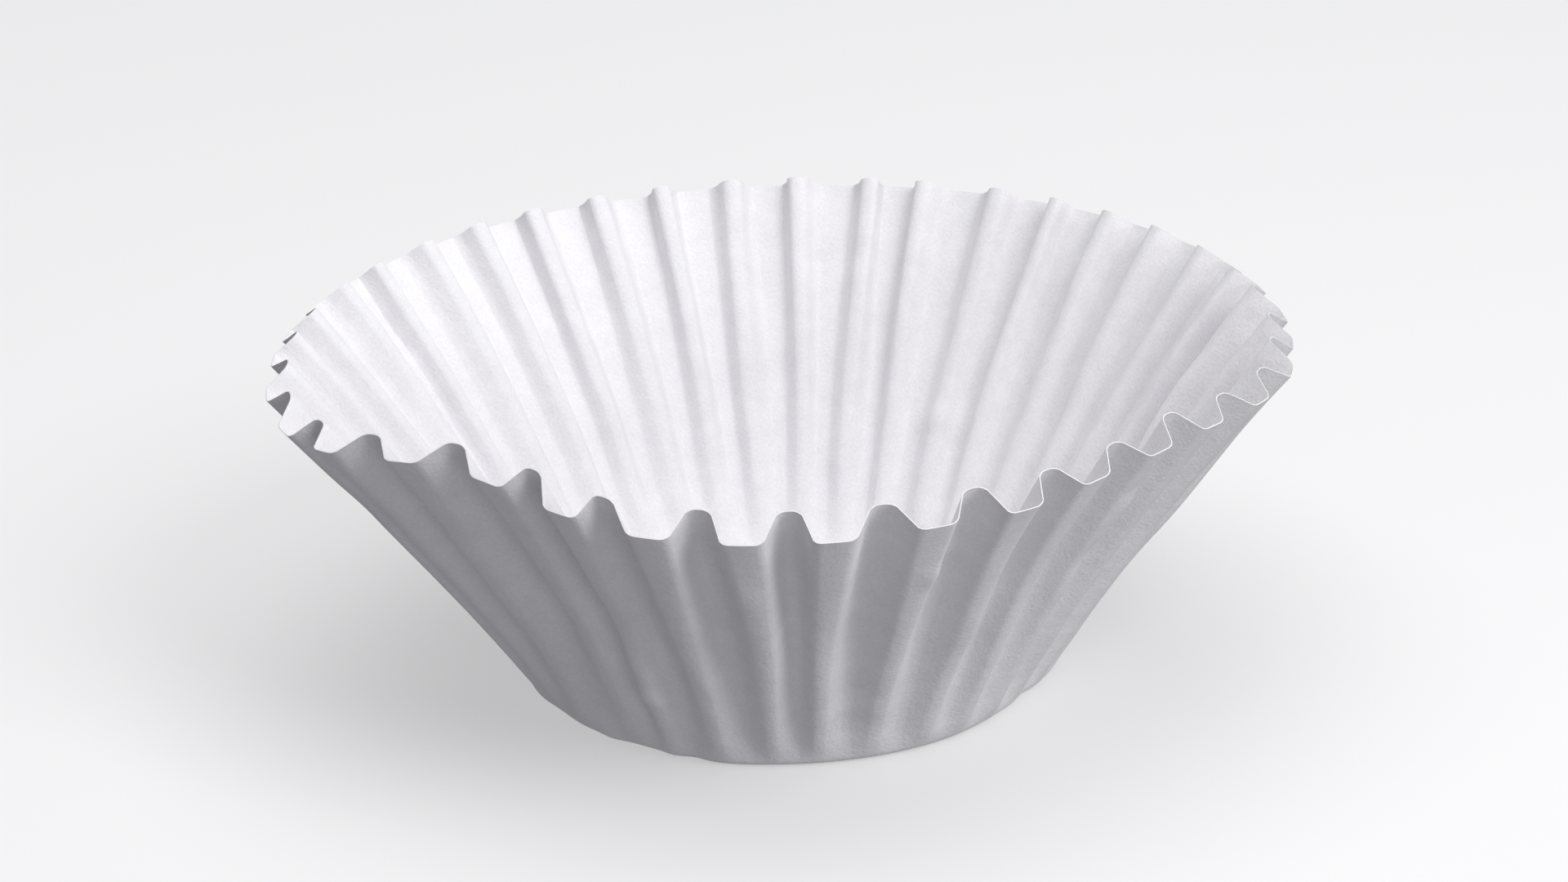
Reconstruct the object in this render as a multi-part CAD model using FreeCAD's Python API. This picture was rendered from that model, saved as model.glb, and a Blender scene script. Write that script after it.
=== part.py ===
"""A basket coffee filter: one disc of paper, pressed into a flat base and a fluted, flaring wall.

Millimetres, +Z up. The origin is the centre of the base's underside, and the front is towards -Y.
"""

import FreeCAD, Part
import math
import os
from FreeCAD import Vector

NODE = "paper_filter"

# name: (value, what it is)
SIZES = {
    "sheet_diameter": (209.55, "flat disc of paper before it is pressed"),
    "base_diameter": (82.55, "flat base, across the crease where the wall starts"),
    "paper_thickness": (0.15, "one layer of paper"),
    "flute_count": (38, "flutes round the wall"),
    "slope_at_crease": (61.1, "degrees that the wall rises from the level, at the crease"),
    "slope_at_rim": (50.7, "degrees that the wall rises from the level, at the rim"),
    "outward_panel": (0.19, "share of a flute's paper in its flat outward panel"),
    "inward_panel": (0.06, "share of a flute's paper in its flat inward panel"),
    "bend_share": (0.32, "share of a flute's paper in the four bends between panels and flanks"),
}

# How far the flutes stand off their even places: (even place, degrees further round). They spread
# at the front and crowd at the back, where the last line ends a full turn after the first.
SPREAD = (
    (-170.0, -12.0), (-151.5, -8.7), (-142.0, -9.2), (-132.5, -6.3), (-123.0, -2.0),
    (-85.0, 0.0), (-66.0, 2.5), (-28.0, 5.0), (-14.0, 6.5), (190.0, -12.0),
)

# Where the wall stands steeper than elsewhere, or less steep: (degrees round, half width, degrees)
PRESSED_IN = ((-130, 18, 6.0), (-43, 22, 3.2), (-90, 25, 1.0), (-162, 12, -2.0), (-18, 12, -1.8))

# Rings of the wall, as shares of the way from the crease to the rim. They lie closer near the
# crease, where a flute changes most.
RING_SHARES = (0.0, 0.1, 0.25, 0.45, 0.7, 1.0)

BEND_STEPS = 2  # flat steps in each bend

OUTSIDE = 1  # the two sides of the paper
INSIDE = -1


def make_sheet(doc):
    """The table of driving sizes."""
    sheet = doc.addObject("Spreadsheet::Sheet", "sizes")
    for row, (name, (value, note)) in enumerate(SIZES.items(), start=1):
        sheet.set(f"A{row}", name)
        sheet.set(f"B{row}", str(value))
        sheet.set(f"C{row}", note)
        sheet.setAlias(f"B{row}", name)
    doc.recompute()
    return sheet


def flank_slope(shortening, panels, bends):
    """Slope of a flute's flanks, in radians, at which the wavy paper covers this share of its own length."""
    low, high = 1e-6, math.pi / 2
    for _ in range(50):
        slope = (low + high) / 2
        covered = panels + bends * math.sin(slope) / slope + (1 - panels - bends) * math.cos(slope)
        if covered > shortening:
            low = slope
        else:
            high = slope
    return (low + high) / 2


def spread(even):
    """Degrees round of the paper that would be at this many if the flutes were even."""
    turned = (even - SPREAD[0][0]) % 360 + SPREAD[0][0]
    for (low, low_shift), (high, high_shift) in zip(SPREAD, SPREAD[1:]):
        if turned <= high:
            return even + low_shift + (high_shift - low_shift) * (turned - low) / (high - low)


def pressed_in(angle):
    """How many degrees steeper the wall stands at this many degrees round."""
    steeper = 0
    for middle, half_width, degrees in PRESSED_IN:
        off = ((angle - middle + 180) % 360 - 180) / half_width
        steeper += degrees * math.exp(-off * off)
    return steeper


class Wall:
    """The fluted wall, worked out from the sheet's sizes."""

    def __init__(self, sizes):
        self.base_radius = sizes.base_diameter / 2
        self.length = (sizes.sheet_diameter - sizes.base_diameter) / 2
        self.thickness = sizes.paper_thickness
        self.flutes = round(sizes.flute_count)
        self.slope_start = math.radians(sizes.slope_at_crease)
        self.slope_end = math.radians(sizes.slope_at_rim)
        self.outward_panel = sizes.outward_panel
        self.inward_panel = sizes.inward_panel
        self.bend_share = sizes.bend_share

    def slope(self, distance):
        """Slope of the wall at this distance from the crease, measured along the paper."""
        return self.slope_start + (self.slope_end - self.slope_start) * distance / self.length

    def middle(self, distance):
        """Radius and height of the wall's middle surface, flutes left out."""
        mean_slope = (self.slope_start + self.slope(distance)) / 2
        radius = self.base_radius + distance * math.cos(mean_slope)
        height = self.thickness / 2 + distance * math.sin(mean_slope)
        return radius, height

    def half_flute(self, distance, side):
        """Half a flute, from the edge of the outward panel to that of the inward one.

        Points are (along the ring, out from the wall). The paper keeps its length: a ring of the
        disc is as long as it was when the disc was flat, and the flutes take up what is over.
        """
        radius, _ = self.middle(distance)
        half_pitch = math.pi * radius / self.flutes
        half_paper = math.pi * (self.base_radius + distance) / self.flutes
        panels = self.outward_panel + self.inward_panel
        slope = flank_slope(half_pitch / half_paper, panels, self.bend_share)
        bend = self.bend_share * half_paper / slope / 2
        flank = (1 - panels - self.bend_share) * half_paper
        depth = 2 * bend * (1 - math.cos(slope)) + flank * math.sin(slope)

        offset = side * self.thickness / 2
        outward = self.outward_panel * half_paper
        inward = half_pitch - self.inward_panel * half_paper
        points = []
        for step in range(BEND_STEPS + 1):
            turn = slope * step / BEND_STEPS
            along = outward + (bend + offset) * math.sin(turn)
            points.append((along, depth / 2 - bend + (bend + offset) * math.cos(turn)))
        for step in range(BEND_STEPS, -1, -1):
            turn = slope * step / BEND_STEPS
            along = inward - (bend - offset) * math.sin(turn)
            points.append((along, bend - depth / 2 - (bend - offset) * math.cos(turn)))
        return points

    def crease_ring(self, side):
        """Radius and height of the crease, where the base's skin meets the wall's."""
        offset = side * self.thickness / 2
        radius = self.base_radius + offset * math.tan(self.slope_start / 2)
        return radius, self.thickness / 2 - offset

    def ring(self, distance, side):
        """Corners of one skin of the wall, right round, at one distance from the crease."""
        at_crease = distance == 0
        radius, height = self.crease_ring(side) if at_crease else self.middle(distance)
        along_level = radius - self.base_radius
        rise = height - self.thickness / 2
        pitch = 2 * math.pi * radius / self.flutes
        half = self.half_flute(distance, side)
        back = [(pitch - along, out) for along, out in reversed(half)]
        points = []
        for flute in range(self.flutes):
            for along, out in half + back:
                place = spread(360 * flute / self.flutes + math.degrees(along / radius))
                angle = math.radians(place)
                steeper = math.radians(pressed_in(place))
                if at_crease:
                    out = 0
                    steeper = 0
                slope = self.slope(distance) + steeper
                reach = radius - along_level * (1 - math.cos(steeper)) - rise * math.sin(steeper)
                level = height - rise * (1 - math.cos(steeper)) + along_level * math.sin(steeper)
                reach += out * math.sin(slope)
                level -= out * math.cos(slope)
                points.append(Vector(reach * math.cos(angle), reach * math.sin(angle), level))
        return points

    def skin(self, side):
        """Rings of one skin, from the crease to the rim."""
        return [self.ring(share * self.length, side) for share in RING_SHARES]

    def band(self, lower, upper):
        """Flat facets of the paper between two rings, alike on both sides of each flute."""
        sides = len(lower) // self.flutes
        facets = []
        for here in range(len(lower)):
            there = (here + 1) % len(lower)
            if here % sides < sides // 2:
                facets.append(facet(lower[here], lower[there], upper[there]))
                facets.append(facet(lower[here], upper[there], upper[here]))
            else:
                facets.append(facet(lower[here], lower[there], upper[here]))
                facets.append(facet(lower[there], upper[there], upper[here]))
        return facets


def facet(*corners):
    """A flat face with these corners."""
    return Part.Face(Part.makePolygon([*corners, corners[0]]))


def make_filter(wall):
    """The whole filter as one closed solid: the wall's and the base's two skins, and the cut rim."""
    outer = wall.skin(OUTSIDE)
    inner = wall.skin(INSIDE)
    faces = []
    for rings in (outer, inner):
        faces.append(facet(*rings[0]))
        for lower, upper in zip(rings, rings[1:]):
            faces += wall.band(lower, upper)
    faces += wall.band(outer[-1], inner[-1])
    shell = Part.makeShell(faces)
    shell.sewShape()
    solid = Part.Solid(shell)
    if solid.Volume < 0:
        solid.reverse()
    return solid


def check(doc, node):
    """Stop if anything in the document failed, or if the filter isn't one sound solid."""
    for item in doc.Objects:
        failed = [state for state in item.State if state in ("Invalid", "Error")]
        if failed:
            raise RuntimeError(f"{item.Label} failed: {failed}")
    shape = node.Shape
    if shape.isNull() or not shape.isValid() or len(shape.Solids) != 1:
        raise RuntimeError(f"{node.Label} isn't one sound solid")


def main():
    doc = FreeCAD.newDocument("coffee_filter")
    wall = Wall(make_sheet(doc))
    node = doc.addObject("Part::Feature", NODE)
    node.Label = NODE
    node.Shape = make_filter(wall)
    node.Placement = FreeCAD.Placement()
    doc.recompute()
    check(doc, node)

    box = node.Shape.BoundBox
    print(f"{node.Label}: {len(node.Shape.Faces)} faces, {node.Shape.Volume:.0f} mm3 of paper")
    print(f"{box.XLength:.1f} x {box.YLength:.1f} x {box.ZLength:.1f} mm, from z = {box.ZMin:.3f}")
    os.makedirs("parts", exist_ok=True)
    node.Shape.exportStep(os.path.join("parts", f"{node.Label}.step"))


main()
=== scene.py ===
"""A paper basket coffee filter on a pale floor, in metres, with the front towards -Y.

The filter is one disc of paper. It is cut flat, ring by ring, then pressed: each place on the flat
disc has its place on the base or on the fluted wall. Last it gets the thickness of paper.
"""

import math

import bpy
import numpy as np
from bpy.props import FloatProperty, FloatVectorProperty, IntProperty, PointerProperty
from mathutils import Matrix, Vector


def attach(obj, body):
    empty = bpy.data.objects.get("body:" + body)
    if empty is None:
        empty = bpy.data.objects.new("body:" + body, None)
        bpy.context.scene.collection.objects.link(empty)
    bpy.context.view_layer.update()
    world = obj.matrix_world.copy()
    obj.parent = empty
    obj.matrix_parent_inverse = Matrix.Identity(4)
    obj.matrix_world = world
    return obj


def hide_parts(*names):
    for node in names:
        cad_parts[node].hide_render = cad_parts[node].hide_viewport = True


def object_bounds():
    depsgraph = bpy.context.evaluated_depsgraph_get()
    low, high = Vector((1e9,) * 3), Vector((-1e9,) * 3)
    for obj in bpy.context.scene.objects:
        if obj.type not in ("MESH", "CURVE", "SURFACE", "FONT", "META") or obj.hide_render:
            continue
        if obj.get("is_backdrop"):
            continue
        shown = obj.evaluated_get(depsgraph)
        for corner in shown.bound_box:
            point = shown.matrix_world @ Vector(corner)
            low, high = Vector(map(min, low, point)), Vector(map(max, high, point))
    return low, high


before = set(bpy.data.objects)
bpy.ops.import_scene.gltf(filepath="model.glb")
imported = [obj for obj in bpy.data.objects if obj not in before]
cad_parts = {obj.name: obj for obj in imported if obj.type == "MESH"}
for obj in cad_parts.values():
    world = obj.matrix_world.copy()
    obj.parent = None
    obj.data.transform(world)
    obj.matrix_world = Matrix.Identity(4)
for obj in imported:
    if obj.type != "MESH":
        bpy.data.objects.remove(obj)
CAD_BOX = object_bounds()

bl_info = {
    "name": "Paper coffee filter",
    "version": (1, 0, 0),
    "blender": (4, 5, 0),
    "location": "3D View > Sidebar > Coffee Filter",
    "description": "Presses a basket coffee filter from a disc of paper and lights it",
    "category": "Object",
}

PAPER_NODE = "paper_filter"
BODY = "root"
SHEET_MAP = "flat_sheet"

# Where the flutes stand that face the front, in degrees round from +X. The others share the rest of
# the round evenly, but for small chances.
FRONT_FLUTES = (
    -182, -171.5, -160, -151, -139, -125, -115.5, -105, -94.5,
    -85.5, -74.5, -63.5, -54, -44, -34, -23.5, -12, -4,
)

# Shares of a half flute's paper: outward panel, inward panel, the sharp bend beside the outward one
# and the round bend beside the inward one. The flank has the rest. From LOW to RIM they change over
# the wall above CRISP_FROM, and BOWED is added at the rim to a side that is bowed.
FRONT_LOW = (0.04, 0.02, 0.27, 0.29)
FRONT_RIM = (0.21, 0.03, 0.18, 0.28)
BACK_LOW = (0.11, 0.02, 0.27, 0.31)
BACK_RIM = (0.31, 0.03, 0.18, 0.26)
BOWED = (-0.07, 0.0, 0.08, 0.0)
CRISP_FROM = 0.28

# Steps of the mesh along half a flute, as shares of its paper: few on the flats, more in the bends
FLUTE_STOPS = (0.0, 0.17, 0.225, 0.28, 0.335, 0.555, 0.775, 0.83, 0.885, 0.94, 1.0)

# How deep the flutes are, up the wall and round it. They rise to their depth over FLUTES_RISE of the
# wall, and the crease lies FLUTES_START of the way into that rise.
FLUTES_RISE = 0.10
FLUTES_START = 0.15
FRONT_AT = (-90, 42.97)  # degrees round and half width, where they are deeper at the rim
BACK_FROM, BACK_FULL = -0.35, 0.45  # sines of the angles where the back starts and is reached
BACK_CALMER = 0.5  # share of the unevenness that is gone at the back
BACK_FLATTER = 0.13  # share by which they are flatter at the back, at the rim
FAINT_AT = (-150, 30)  # degrees round and half width, where they are faint low on the wall
FAINT_SHARE = 0.55  # share of their depth that they lack there
FAINT_BELOW = 0.7  # share of the wall at which they have it all again

# Where the wall stands steeper than elsewhere, or less steep: (degrees round, half width, degrees)
PRESSED_IN = ((-130, 18, 6.0), (-43, 22, 3.2), (-90, 25, 1.0), (-162, 12, -1.0), (-18, 12, -0.6))
PRESSED_FROM = 0.006  # distance from the crease over which the wall takes up this lean

# Where the crease lies further in than its circle: (degrees round, half width, metres)
CREASE_IN = (
    (-127, 17, 0.0012), (-36, 15, 0.0010), (-105, 8, -0.0004), (-117, 2.5, -0.0004),
    (-111.5, 2.5, 0.0004), (-133, 3.5, -0.0005), (-29, 4, 0.0006), (-14, 4, -0.0003),
    (-151, 7, 0.0007),
)
CREASE_FELT = 0.02  # distance from the crease, over the base, in which this fades out
CREASE_LOST = 0.6  # share of it that is gone at the rim

# How a crest or a fold strays on its way up: radians round, radians of the wave from end to end,
# and the share of the wall over which it sets in
WAVER = 0.010
WAVER_WAVE = 2.5
WAVER_FROM = 0.5

# Small dents: their count, and the least and greatest of their places and sizes
DENTS = 150
DENT_PLACES = (0.08, 1.0)  # share of the wall
DENT_LENGTHS = (0.002, 0.009)
DENT_WIDTHS = (0.0020, 0.0045)
DENTS_FROM = 0.004  # distance from the crease over which they set in

# Broad, shallow swells of the wall: (waves round, half waves up, metres)
SWELLS = ((5, 1.3, 0.00028), (11, 2.1, 0.00016), (23, 3.7, 0.00009))

# Rings of the flat disc. The first one and those of the base are shares of the base's radius.
# CREASE_SPAN, to each side of the crease, and WALL_FROM are in lengths of the crease's bend.
FIRST_RING = 0.04
BASE_RINGS = (0.15, 0.35, 0.55, 0.72, 0.84, 0.92)
CREASE_SPAN = 1.2
CREASE_RINGS = 7
WALL_FROM = 2.2
WALL_RINGS = 42

# Steps and limits of the sums
PROFILE_STEPS = 4001
DEPTH_STEPS = 200
HALVINGS = 36
LEAST_SLOPE = 1e-4
STEEPEST_SLOPE = 1.9  # a little past upright
NO_DEPTH = 1e-7  # a depth that counts as none
NOT_ZERO = 1e-6  # least length that anything is divided by

CLOUD_SIZE = 0.0035  # of the thin places in the paper
FELT_DEPTH = 0.0002
MIX_THIN, MIX_THICK, MIX_RESULT = 6, 7, 2  # the colour sockets of a Mix node, by their places
EDGE_ANGLE = math.radians(50)  # sharper edges stay sharp: the cut rim

# Lamps: name, place and width. Each has its power among the stage's settings.
LAMPS = (
    ("key", (0.62, -0.62, 0.85), 0.6),
    ("top", (-0.05, 0.10, 1.1), 1.2),
    ("side", (0.85, -0.45, 0.10), 0.4),
    ("front", (0.32, -1.15, 0.08), 0.5),
)
LAMPS_AIM = Vector((0, 0, 0.03))
SKY_COLOUR = (0.965, 0.965, 1.02, 1)

FLOOR_WIDTH = 8
FLOOR_DROP = 0.0001  # keeps the floor clear of the base's underside
CAMERA_MIDDLE = Vector((0, 0, 0.027))
CAMERA_AIM = Vector((0, 0, 0.0361))
PICTURE_WIDTH = 36  # millimetres


class FilterSizes(bpy.types.PropertyGroup):
    """The filter's own sizes."""

    sheet_diameter: FloatProperty(
        name="Sheet diameter",
        description="Flat disc of paper before pressing",
        default=0.20955,
        unit="LENGTH",
    )
    base_diameter: FloatProperty(
        name="Base diameter",
        description="Flat base, across the crease",
        default=0.08255,
        unit="LENGTH",
    )
    paper_thickness: FloatProperty(
        name="Paper thickness",
        description="One layer of paper",
        default=0.00015,
        precision=5,
        unit="LENGTH",
    )
    flute_count: IntProperty(
        name="Flutes",
        description="Flutes round the wall",
        default=38,
    )
    slope_at_crease: FloatProperty(
        name="Slope at crease",
        description="How the wall rises from the level at the crease",
        default=math.radians(61.1),
        subtype="ANGLE",
    )
    slope_at_rim: FloatProperty(
        name="Slope at rim",
        description="How the wall rises from the level at the rim",
        default=math.radians(50.7),
        subtype="ANGLE",
    )
    crease_round: FloatProperty(
        name="Crease",
        description="Paper on each side that bends round the crease",
        default=0.0014,
        unit="LENGTH",
    )
    uneven_depth: FloatProperty(
        name="Uneven depth",
        description="Share by which the flutes differ in depth",
        default=0.13,
        subtype="FACTOR",
    )
    front_depth: FloatProperty(
        name="Front depth",
        description="Share by which the flutes at the front are deeper at the rim",
        default=0.14,
        subtype="FACTOR",
    )
    uneven_pitch: FloatProperty(
        name="Uneven pitch",
        description="Share of a flute by which the back flutes stand off their even places",
        default=0.07,
        subtype="FACTOR",
    )
    dent_depth: FloatProperty(
        name="Dents",
        description="Deepest of the small dents in the wall",
        default=0.0006,
        precision=5,
        unit="LENGTH",
    )
    seed: IntProperty(
        name="Seed",
        description="Which set of small chances is used",
        default=7,
    )


class PaperFinish(bpy.types.PropertyGroup):
    """What the paper's surface looks like."""

    paper_colour: FloatVectorProperty(
        name="Paper",
        description="Bleached paper",
        default=(0.85, 0.84, 0.86),
        size=3,
        subtype="COLOR",
    )
    thin_colour: FloatVectorProperty(
        name="Thin places",
        description="Where the fibres lie thinner",
        default=(0.775, 0.765, 0.785),
        size=3,
        subtype="COLOR",
    )
    fibre_size: FloatProperty(
        name="Fibres",
        description="Size of the fibres' felt",
        default=0.0005,
        precision=5,
        unit="LENGTH",
    )


class StageLook(bpy.types.PropertyGroup):
    """Floor, lights and camera."""

    floor_colour: FloatVectorProperty(
        name="Floor",
        description="Plain pale floor",
        default=(0.50, 0.50, 0.505),
        size=3,
        subtype="COLOR",
    )
    floor_glow: FloatProperty(
        name="Floor glow",
        description="Lifts the floor's shadows",
        default=0.40,
    )
    key_power: FloatProperty(
        name="Key light",
        description="Soft light from the right",
        default=6.5,
        unit="POWER",
    )
    top_power: FloatProperty(
        name="Top light",
        description="Soft light from above",
        default=8.0,
        unit="POWER",
    )
    side_power: FloatProperty(
        name="Side light",
        description="Low light from the right",
        default=2.3,
        unit="POWER",
    )
    front_power: FloatProperty(
        name="Front light",
        description="Low light from the front",
        default=2.3,
        unit="POWER",
    )
    sky: FloatProperty(
        name="Sky",
        description="Even light from all round",
        default=0.25,
    )
    distance: FloatProperty(
        name="Camera distance",
        description="From the filter's middle",
        default=0.750,
        unit="LENGTH",
    )
    elevation: FloatProperty(
        name="Camera elevation",
        description="Above the level",
        default=math.radians(22.28),
        subtype="ANGLE",
    )
    roll: FloatProperty(
        name="Camera roll",
        description="Tilt of the picture",
        default=math.radians(-2.08),
        subtype="ANGLE",
    )
    lens: FloatProperty(
        name="Lens",
        description="Focal length on a 36 mm wide picture",
        default=110.4,
        unit="CAMERA",
    )


# ---- the pressed disc ----


def smooth(x):
    """From 0 to 1 with no corner at either end."""
    x = np.clip(x, 0, 1)
    return x * x * (3 - 2 * x)


def blend(first, second, share):
    """From the first value to the second."""
    return first + (second - first) * share


def wrapped(angle):
    """The same angle from -pi to pi."""
    return (angle + math.pi) % (2 * math.pi) - math.pi


def near(angle, middle, half_width):
    """1 at this middle, less and less round it. Middle and half width are in degrees."""
    off = wrapped(angle - math.radians(middle)) / math.radians(half_width)
    return np.exp(-off * off)


def summed_near(angle, rows):
    """What the rows add up to here. Each is (degrees round, half width, how much)."""
    return sum(amount * near(angle, middle, half_width) for middle, half_width, amount in rows)


def facing_back(angle):
    """From 0 at the front to 1 at the back."""
    return smooth((np.sin(angle) - BACK_FROM) / (BACK_FULL - BACK_FROM))


def calmer(angle):
    """Share of the unevenness that is left here: all at the front, less at the back."""
    return 1 - BACK_CALMER * facing_back(angle)


class Flute:
    """Half a flute's section, as shares of its paper: panel, bend, flank, bend, panel."""

    def __init__(self, share_of_wall, back=0.0, bowed=0.0):
        crisp = smooth((share_of_wall - CRISP_FROM) / (1 - CRISP_FROM))
        rows = zip(FRONT_LOW, FRONT_RIM, BACK_LOW, BACK_RIM, BOWED)
        shares = [
            blend(blend(front_low, front_rim, crisp), blend(back_low, back_rim, crisp), back)
            + added * bowed * crisp
            for front_low, front_rim, back_low, back_rim, added in rows
        ]
        self.outward, self.inward, self.sharp, self.round = shares
        self.flank = 1 - sum(shares)

    def spans(self, slope):
        """How far the section reaches along and how deep it goes, for one length of paper."""
        bends = self.sharp + self.round
        panels = self.outward + self.inward
        along = panels + bends * np.sin(slope) / slope + self.flank * np.cos(slope)
        deep = bends * (1 - np.cos(slope)) / slope + self.flank * np.sin(slope)
        return along, deep

    def slope_for(self, test):
        """The flank's slope at which test, which rises with it, turns true. Found by halving."""
        low = np.full_like(self.flank, LEAST_SLOPE)
        high = np.full_like(self.flank, STEEPEST_SLOPE)
        for _ in range(HALVINGS):
            middle = (low + high) / 2
            over = test(*self.spans(middle))
            high = np.where(over, middle, high)
            low = np.where(over, low, middle)
        return (low + high) / 2

    def place(self, share, slope):
        """Along and down from the outward panel's middle, at this share of the paper."""
        sharp, rounded = self.sharp / slope, self.round / slope
        first = np.clip(share - self.outward, 0, self.sharp)
        flank = np.clip(share - self.outward - self.sharp, 0, self.flank)
        second = np.clip(share - self.outward - self.sharp - self.flank, 0, self.round)
        inward = np.clip(share - (1 - self.inward), 0, self.inward)
        turn_a = first / sharp
        turn_b = slope - second / rounded
        along = np.clip(share, 0, self.outward) + sharp * np.sin(turn_a) + flank * np.cos(slope)
        along = along + rounded * (np.sin(slope) - np.sin(turn_b)) + inward
        down = sharp * (1 - np.cos(turn_a)) + flank * np.sin(slope)
        down = down + rounded * (np.cos(turn_b) - np.cos(slope))
        return along, down


class Press:
    """Turns places on the flat disc into places on the pressed filter."""

    def __init__(self, sizes):
        self.sizes = sizes
        self.flutes = sizes.flute_count
        self.base_radius = sizes.base_diameter / 2
        self.wall = (sizes.sheet_diameter - sizes.base_diameter) / 2
        self.lay_profile()
        self.lay_flutes(np.random.default_rng(sizes.seed))

    def lay_profile(self):
        """Slope, radius and height of the filter without its flutes, along the paper."""
        sizes = self.sizes
        along = np.linspace(-self.base_radius, self.wall, PROFILE_STEPS)
        bent = smooth((along + sizes.crease_round) / (2 * sizes.crease_round))
        fall = (sizes.slope_at_rim - sizes.slope_at_crease) * np.clip(along / self.wall, 0, 1)
        slope = bent * (sizes.slope_at_crease + fall)
        step = along[1] - along[0]

        def summed(rate):
            return np.concatenate([[0], np.cumsum((rate[1:] + rate[:-1]) / 2 * step)])

        self.profile = along, slope, summed(np.cos(slope)), summed(np.sin(slope))

    def lay_flutes(self, chance):
        """Where the flutes stand, how deep each is, and where the dents and swells are."""
        sizes, count = self.sizes, self.flutes
        full_turn = 2 * math.pi
        front = np.radians(FRONT_FLUTES)
        rest = count - len(front)
        back = np.linspace(front[-1], front[0] + full_turn, rest + 2)[1:-1]
        back = back + full_turn / count * sizes.uneven_pitch * chance.uniform(-1, 1, rest)
        self.crests = np.concatenate([front, back])
        following = np.append(self.crests[1:], self.crests[0] + full_turn)
        lean = sizes.uneven_pitch * chance.uniform(-1, 1, count) * calmer(self.crests)
        self.folds = self.crests + (following - self.crests) * (0.5 + lean)
        self.crest_depth = self.uneven(self.crests, chance.uniform(-1, 1, (count, 2)))
        self.fold_depth = self.uneven(self.folds, chance.uniform(-1, 1, (count, 2)))
        self.crest_waver = chance.uniform(0, full_turn, count)
        self.fold_waver = chance.uniform(0, full_turn, count)

        self.dents = (
            chance.uniform(-math.pi, math.pi, DENTS),
            self.wall * chance.uniform(*DENT_PLACES, DENTS),
            chance.uniform(*DENT_LENGTHS, DENTS),
            chance.uniform(*DENT_WIDTHS, DENTS),
            sizes.dent_depth * chance.uniform(-1, 1, DENTS),
        )
        self.swell_phases = chance.uniform(0, full_turn, (len(SWELLS), 2))

    def uneven(self, angle, chances):
        """Depths of crests or folds as shares of the even depth, at the crease and at the rim."""
        return 1 + self.sizes.uneven_depth * chances * calmer(angle)[:, None]

    def middle(self, along):
        """Slope, radius and height of the wall without its flutes."""
        knots, *values = self.profile
        return [np.interp(along, knots, value) for value in values]

    def even_depth(self, along):
        """Depth of a flute where all are alike: the paper of a ring keeps its length."""
        _, radius, _ = self.middle(along)
        section = Flute(np.clip(along / self.wall, 0, 1))
        half_paper = math.pi * (self.base_radius + along) / self.flutes
        half_pitch = math.pi * radius / self.flutes
        slope = section.slope_for(lambda reach, deep: reach < half_pitch / half_paper)
        depth = section.spans(slope)[1] * half_paper
        return np.where(along > 0, depth, 0)

    def depth_share(self, factors, angle, share):
        """Depth of a crest or a fold here, as a share of the even depth."""
        deeper = self.sizes.front_depth * near(angle, *FRONT_AT)
        deeper = 1 + share * (deeper - BACK_FLATTER * facing_back(angle))
        faint = FAINT_SHARE * near(angle, *FAINT_AT) * (1 - smooth(share / FAINT_BELOW))
        return blend(factors[:, 0], factors[:, 1], share) * deeper * (1 - faint)

    def waver(self, phase, share):
        """How far round a crest or a fold strays from its place, in radians."""
        return WAVER * np.sin(phase + WAVER_WAVE * share) * smooth(share / WAVER_FROM)

    def place(self, along, turn):
        """Places of the pressed paper's middle.

        along is the distance from the crease, and turn is the angle round the flat disc.
        """
        turns = turn / (2 * math.pi) * self.flutes
        nearest = np.round(turns).astype(int)
        off = turns - nearest
        crest = nearest % self.flutes
        after = off >= 0
        fold = np.where(after, crest, (crest - 1) % self.flutes)
        share = np.clip(along / self.wall, 0, 1)

        # a flute isn't quite straight: it wavers a little on its way up
        crest_at = self.crests[crest] + self.waver(self.crest_waver[crest], share)
        before_first = ~after & (crest == 0)
        fold_at = self.folds[fold] + self.waver(self.fold_waver[fold], share)
        fold_at = fold_at - 2 * math.pi * before_first

        slope, radius, height = self.middle(along)
        knots = np.linspace(0, self.wall, DEPTH_STEPS)
        depth = np.interp(along, knots, self.even_depth(knots))
        depth = depth * smooth(along / (FLUTES_RISE * self.wall) + FLUTES_START)
        top = depth / 2 * self.depth_share(self.crest_depth[crest], crest_at, share)
        bottom = depth / 2 * self.depth_share(self.fold_depth[fold], fold_at, share)
        width = np.abs(fold_at - crest_at) * radius

        # the front flutes are bowed on their right side, and the back ones have wider panels
        back = facing_back(self.crests[crest])
        section = Flute(share, back, after * (1 - back))
        steepness = (top + bottom) / np.maximum(width, NOT_ZERO)
        fluted = top + bottom > NO_DEPTH
        flank = section.slope_for(lambda reach, deep: deep > steepness * reach)
        flank = np.where(fluted, flank, LEAST_SLOPE)
        paper = width / section.spans(flank)[0]
        reach, down = section.place(2 * np.abs(off), flank)
        side = np.where(after, 1, -1) * reach * paper / np.maximum(radius, NOT_ZERO)
        angle = crest_at + side
        out = np.where(fluted, top - down * paper, 0) + self.dented(along, angle)

        steeper = np.radians(summed_near(angle, PRESSED_IN)) * smooth(along / PRESSED_FROM)
        crease_in = summed_near(angle, CREASE_IN) * smooth(1 + along / CREASE_FELT)
        crease = self.base_radius - crease_in * (1 - CREASE_LOST * share)
        from_crease = radius - self.base_radius
        radius = crease + from_crease * np.cos(steeper) - height * np.sin(steeper)
        height = from_crease * np.sin(steeper) + height * np.cos(steeper)
        radius = radius + out * np.sin(slope + steeper)
        height = height - out * np.cos(slope + steeper)
        return np.stack([radius * np.cos(angle), radius * np.sin(angle), height], -1)

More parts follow.
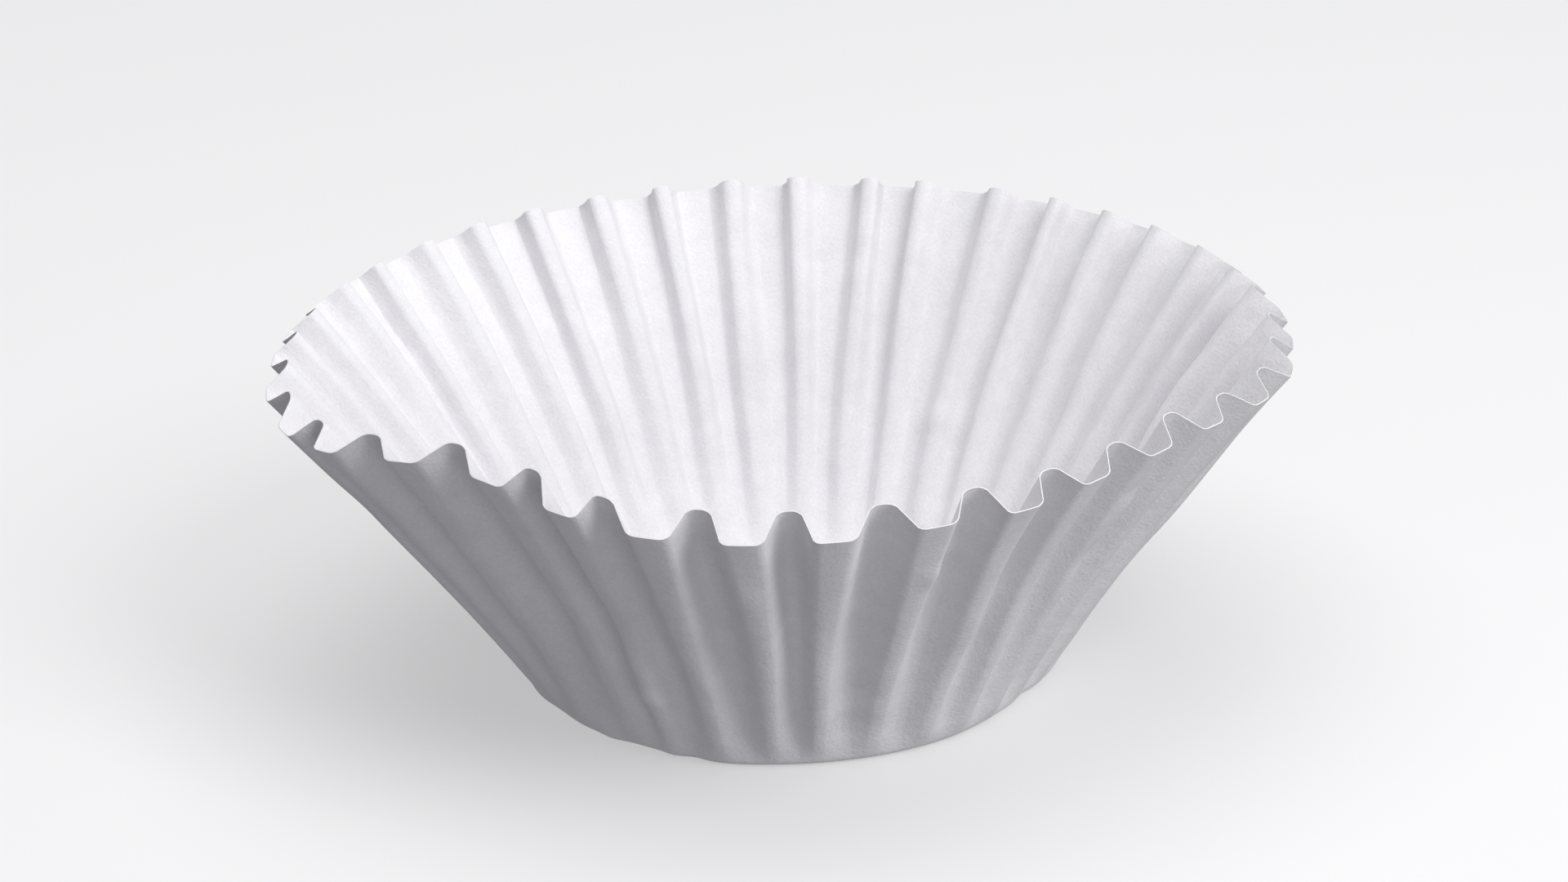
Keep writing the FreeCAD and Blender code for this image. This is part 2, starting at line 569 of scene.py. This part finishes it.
    def dented(self, along, angle):
        """How far the wall stands in or out of its place, for its dents and swells."""
        _, radius, _ = self.middle(along)
        total = np.zeros_like(along)
        for middle, at, length, width, deep in zip(*self.dents):
            across = wrapped(angle - middle) * radius / width
            up = (along - at) / length
            total += deep * np.exp(-across * across - up * up)
        for (waves_round, waves_up, height), phases in zip(SWELLS, self.swell_phases):
            round_wave = np.sin(waves_round * angle + phases[0])
            up_wave = np.sin(waves_up * math.pi * along / self.wall + phases[1])
            total += height * round_wave * up_wave
        return total * smooth(along / DENTS_FROM)


def deselect_all():
    """Nothing selected, so an operator acts only on what comes next."""
    if bpy.context.mode != "OBJECT":
        bpy.ops.object.mode_set(mode="OBJECT")
    bpy.ops.object.select_all(action="DESELECT")


def disc_rings(sizes):
    """Radii of the flat disc's rings after the first, from the centre out."""
    base_radius, bend = sizes.base_diameter / 2, sizes.crease_round
    wall = sizes.sheet_diameter / 2 - base_radius
    base = base_radius * np.array(BASE_RINGS)
    crease = base_radius + bend * np.linspace(-CREASE_SPAN, CREASE_SPAN, CREASE_RINGS)
    flutes = base_radius + np.linspace(bend * WALL_FROM, wall, WALL_RINGS)
    return np.concatenate([base, crease, flutes])


def cut_disc(sizes, name):
    """The flat disc of paper, cut in rings from the centre out."""
    radius = FIRST_RING * sizes.base_diameter / 2
    corners = 2 * (len(FLUTE_STOPS) - 1) * sizes.flute_count
    deselect_all()
    bpy.ops.mesh.primitive_circle_add(vertices=corners, radius=radius, fill_type="NGON")
    disc = bpy.context.object
    disc.name = disc.data.name = name
    bpy.ops.object.mode_set(mode="EDIT")
    bpy.ops.mesh.select_mode(type="EDGE")
    bpy.ops.mesh.select_all(action="SELECT")
    bpy.ops.mesh.region_to_loop()
    for ring in disc_rings(sizes):
        bpy.ops.mesh.extrude_edges_move()
        grow = ring / radius
        bpy.ops.transform.resize(value=(grow, grow, 1), center_override=(0, 0, 0))
        radius = ring
    bpy.ops.mesh.select_all(action="SELECT")
    bpy.ops.mesh.normals_make_consistent(inside=False)
    bpy.ops.object.mode_set(mode="OBJECT")
    return disc


def press_disc(disc, sizes):
    """Lays the flat map on the disc, then presses it into the filter."""
    press = Press(sizes)
    mesh = disc.data
    flat = np.empty(len(mesh.vertices) * 3)
    mesh.vertices.foreach_get("co", flat)
    flat = flat.reshape(-1, 3)
    distance = np.hypot(flat[:, 0], flat[:, 1])
    turn = np.arctan2(flat[:, 1], flat[:, 0]) % (2 * math.pi)

    # vertices crowd where the paper bends
    turns = turn / (2 * math.pi) * press.flutes
    nearest = np.round(turns)
    off = turns - nearest
    evenly = np.linspace(0, 1, len(FLUTE_STOPS))
    off = np.sign(off) * np.interp(2 * np.abs(off), evenly, FLUTE_STOPS) / 2
    turn = (nearest + off) / press.flutes * 2 * math.pi

    place = press.place(distance - press.base_radius, turn)
    place[:, 2] += sizes.paper_thickness / 2
    mesh.vertices.foreach_set("co", place.ravel())

    sheet_map = mesh.uv_layers.new(name=SHEET_MAP)
    corner = np.empty(len(mesh.loops), int)
    mesh.loops.foreach_get("vertex_index", corner)
    spread = np.stack([distance * np.cos(turn), distance * np.sin(turn)], -1)
    spread = spread / sizes.sheet_diameter + 0.5
    sheet_map.data.foreach_set("uv", spread[corner].ravel())
    mesh.update()


def thicken(disc, thickness):
    """Gives the paper its thickness, half to each side."""
    deselect_all()
    disc.select_set(True)
    bpy.context.view_layer.objects.active = disc
    solid = disc.modifiers.new("paper", "SOLIDIFY")
    solid.thickness = thickness
    solid.offset = 0
    solid.use_quality_normals = True
    bpy.ops.object.modifier_apply(modifier=solid.name)
    bpy.ops.object.shade_smooth_by_angle(angle=EDGE_ANGLE)


# ---- materials ----


class Value:
    """A number or colour on its way through a material's nodes."""

    def __init__(self, nodes, socket):
        self.nodes = nodes
        self.socket = socket

    def _maths(self, operation, other):
        return self.nodes.add("ShaderNodeMath", {"operation": operation}, {0: self, 1: other})

    def __add__(self, other):
        return self._maths("ADD", other)

    def __mul__(self, other):
        return self._maths("MULTIPLY", other)

    __radd__ = __add__
    __rmul__ = __mul__


class Nodes:
    """The nodes of one material."""

    def __init__(self, name):
        self.material = bpy.data.materials.new(name)
        self.material.use_nodes = True
        self.tree = self.material.node_tree
        self.tree.nodes.clear()

    def add(self, kind, settings, inputs, output=0):
        """Adds a node: its settings first, then the values or links of its sockets."""
        node = self.tree.nodes.new(kind)
        for name, value in settings.items():
            setattr(node, name, value)
        for name, value in inputs.items():
            if isinstance(value, Value):
                self.tree.links.new(value.socket, node.inputs[name])
            else:
                node.inputs[name].default_value = value
        return Value(self, node.outputs[output]) if node.outputs else None

    def surface(self, settings):
        """Ends the material with one shader, and gives the finished material."""
        shader = self.add("ShaderNodeBsdfPrincipled", {}, settings)
        self.add("ShaderNodeOutputMaterial", {}, {"Surface": shader})
        return self.material


def paper_material(finish, sheet_diameter):
    """Bleached filter paper: matt, felted fibres, thin places a little greyer."""
    nodes = Nodes("bleached_filter_paper")
    sheet = nodes.add("ShaderNodeUVMap", {"uv_map": SHEET_MAP}, {})

    def felt(size, detail):
        inputs = {"Vector": sheet, "Scale": sheet_diameter / size, "Detail": detail}
        return nodes.add("ShaderNodeTexNoise", {}, inputs)

    fibres = felt(finish.fibre_size, 3.0)
    clouds = felt(CLOUD_SIZE, 3.0)
    lumps = felt(finish.fibre_size * 4, 2.0)
    thick = nodes.add(
        "ShaderNodeMapRange",
        {"clamp": True},
        {
            "Value": fibres * 0.6 + clouds * 0.4,
            "From Min": 0.35,
            "From Max": 0.65,
            "To Min": 0.0,
            "To Max": 1.0,
        },
    )
    colour = nodes.add(
        "ShaderNodeMix",
        {"data_type": "RGBA"},
        {
            "Factor": thick,
            MIX_THIN: (*finish.thin_colour, 1),
            MIX_THICK: (*finish.paper_colour, 1),
        },
        output=MIX_RESULT,
    )
    height = fibres * 0.6 + lumps * 0.8
    bump = nodes.add(
        "ShaderNodeBump", {}, {"Strength": 0.6, "Distance": FELT_DEPTH, "Height": height}
    )
    return nodes.surface(
        {
            "Base Color": colour,
            "Roughness": 0.95,
            "Specular IOR Level": 0.15,
            "Sheen Weight": 0.08,
            "Sheen Roughness": 0.6,
            "Normal": bump,
        }
    )


def floor_material(colour, glow):
    """An even matt colour, with a glow that lifts the shadows."""
    return Nodes("pale_floor").surface(
        {
            "Base Color": (*colour, 1),
            "Roughness": 0.9,
            "Emission Color": (1, 1, 1, 1),
            "Emission Strength": glow,
        }
    )


# ---- operators ----


class FILTER_OT_press_paper(bpy.types.Operator):
    """Press the filter out of a flat disc of paper"""

    bl_idname = "coffee_filter.press_paper"
    bl_label = "Press Paper"

    def execute(self, context):
        sizes = context.scene.filter_sizes
        across = sizes.sheet_diameter
        paper = cut_disc(sizes, "pressed_paper")
        press_disc(paper, sizes)
        thicken(paper, sizes.paper_thickness)
        paper.data.materials.append(paper_material(context.scene.filter_finish, across))
        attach(paper, BODY)
        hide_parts(PAPER_NODE)
        return {"FINISHED"}


class FILTER_OT_stage(bpy.types.Operator):
    """Lay the floor, hang the lights and place the camera"""

    bl_idname = "coffee_filter.stage"
    bl_label = "Stage"

    def execute(self, context):
        look = context.scene.filter_stage
        lay_floor(look)
        hang_lights(look, context.scene)
        place_camera(look, context.scene)
        return {"FINISHED"}


def lay_floor(look):
    """A plain pale floor that fills the picture."""
    deselect_all()
    bpy.ops.mesh.primitive_plane_add(size=FLOOR_WIDTH, location=(0, 0, -FLOOR_DROP))
    bpy.ops.object.transform_apply(location=True, rotation=False, scale=False)
    floor = bpy.context.object
    floor.name = "floor"
    floor.data.materials.append(floor_material(look.floor_colour, look.floor_glow))
    # it throws no light back on the wall, so the flutes keep their shade
    floor.visible_diffuse = False
    floor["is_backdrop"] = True


def facing(place, aim):
    """The turn of a lamp or a camera that stands at this place and faces its aim."""
    return (aim - place).to_track_quat("-Z", "Y")


def hang_lights(look, scene):
    """Four soft boxes and an even sky."""
    for name, place, width in LAMPS:
        deselect_all()
        bpy.ops.object.light_add(type="AREA", location=place)
        lamp = bpy.context.object
        lamp.name = f"{name}_light"
        lamp.data.energy = getattr(look, f"{name}_power")
        lamp.data.size = width
        lamp.rotation_euler = facing(Vector(place), LAMPS_AIM).to_euler()
    world = bpy.data.worlds.new("even_sky")
    world.use_nodes = True
    background = world.node_tree.nodes["Background"]
    background.inputs["Color"].default_value = SKY_COLOUR
    background.inputs["Strength"].default_value = look.sky
    scene.world = world
    scene.view_settings.view_transform = "Standard"


def place_camera(look, scene):
    """The camera, a little above the filter and in front of it."""
    back = Vector((0, -math.cos(look.elevation), math.sin(look.elevation)))
    deselect_all()
    bpy.ops.object.camera_add(location=CAMERA_MIDDLE + back * look.distance)
    camera = bpy.context.object
    camera.name = "camera"
    turn = facing(camera.location, CAMERA_AIM).to_matrix() @ Matrix.Rotation(look.roll, 3, "Z")
    camera.rotation_euler = turn.to_euler()
    camera.data.lens = look.lens
    camera.data.sensor_width = PICTURE_WIDTH
    scene.camera = camera


class FILTER_PT_panel(bpy.types.Panel):
    """Buttons for the filter and its stage"""

    bl_label = "Coffee Filter"
    bl_idname = "FILTER_PT_panel"
    bl_space_type = "VIEW_3D"
    bl_region_type = "UI"
    bl_category = "Coffee Filter"

    def draw(self, context):
        for group in GROUPS:
            box = self.layout.box()
            settings = getattr(context.scene, group)
            for name in settings.bl_rna.properties.keys():
                if name not in ("rna_type", "name"):
                    box.prop(settings, name)
        for operator in OPERATORS:
            self.layout.operator(operator.bl_idname)


GROUPS = {"filter_sizes": FilterSizes, "filter_finish": PaperFinish, "filter_stage": StageLook}
OPERATORS = (FILTER_OT_press_paper, FILTER_OT_stage)
CLASSES = (*GROUPS.values(), *OPERATORS, FILTER_PT_panel)


def register():
    for cls in CLASSES:
        bpy.utils.register_class(cls)
    for name, group in GROUPS.items():
        setattr(bpy.types.Scene, name, PointerProperty(type=group))


def unregister():
    for name in GROUPS:
        delattr(bpy.types.Scene, name)
    for cls in reversed(CLASSES):
        bpy.utils.unregister_class(cls)


def main():
    register()
    bpy.ops.coffee_filter.press_paper()
    bpy.ops.coffee_filter.stage()
    boxes = {"cad": CAD_BOX, "visual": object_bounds()}
    boxes = {name: [[float(n) for n in corner] for corner in box] for name, box in boxes.items()}


if __name__ == "__main__":
    main()
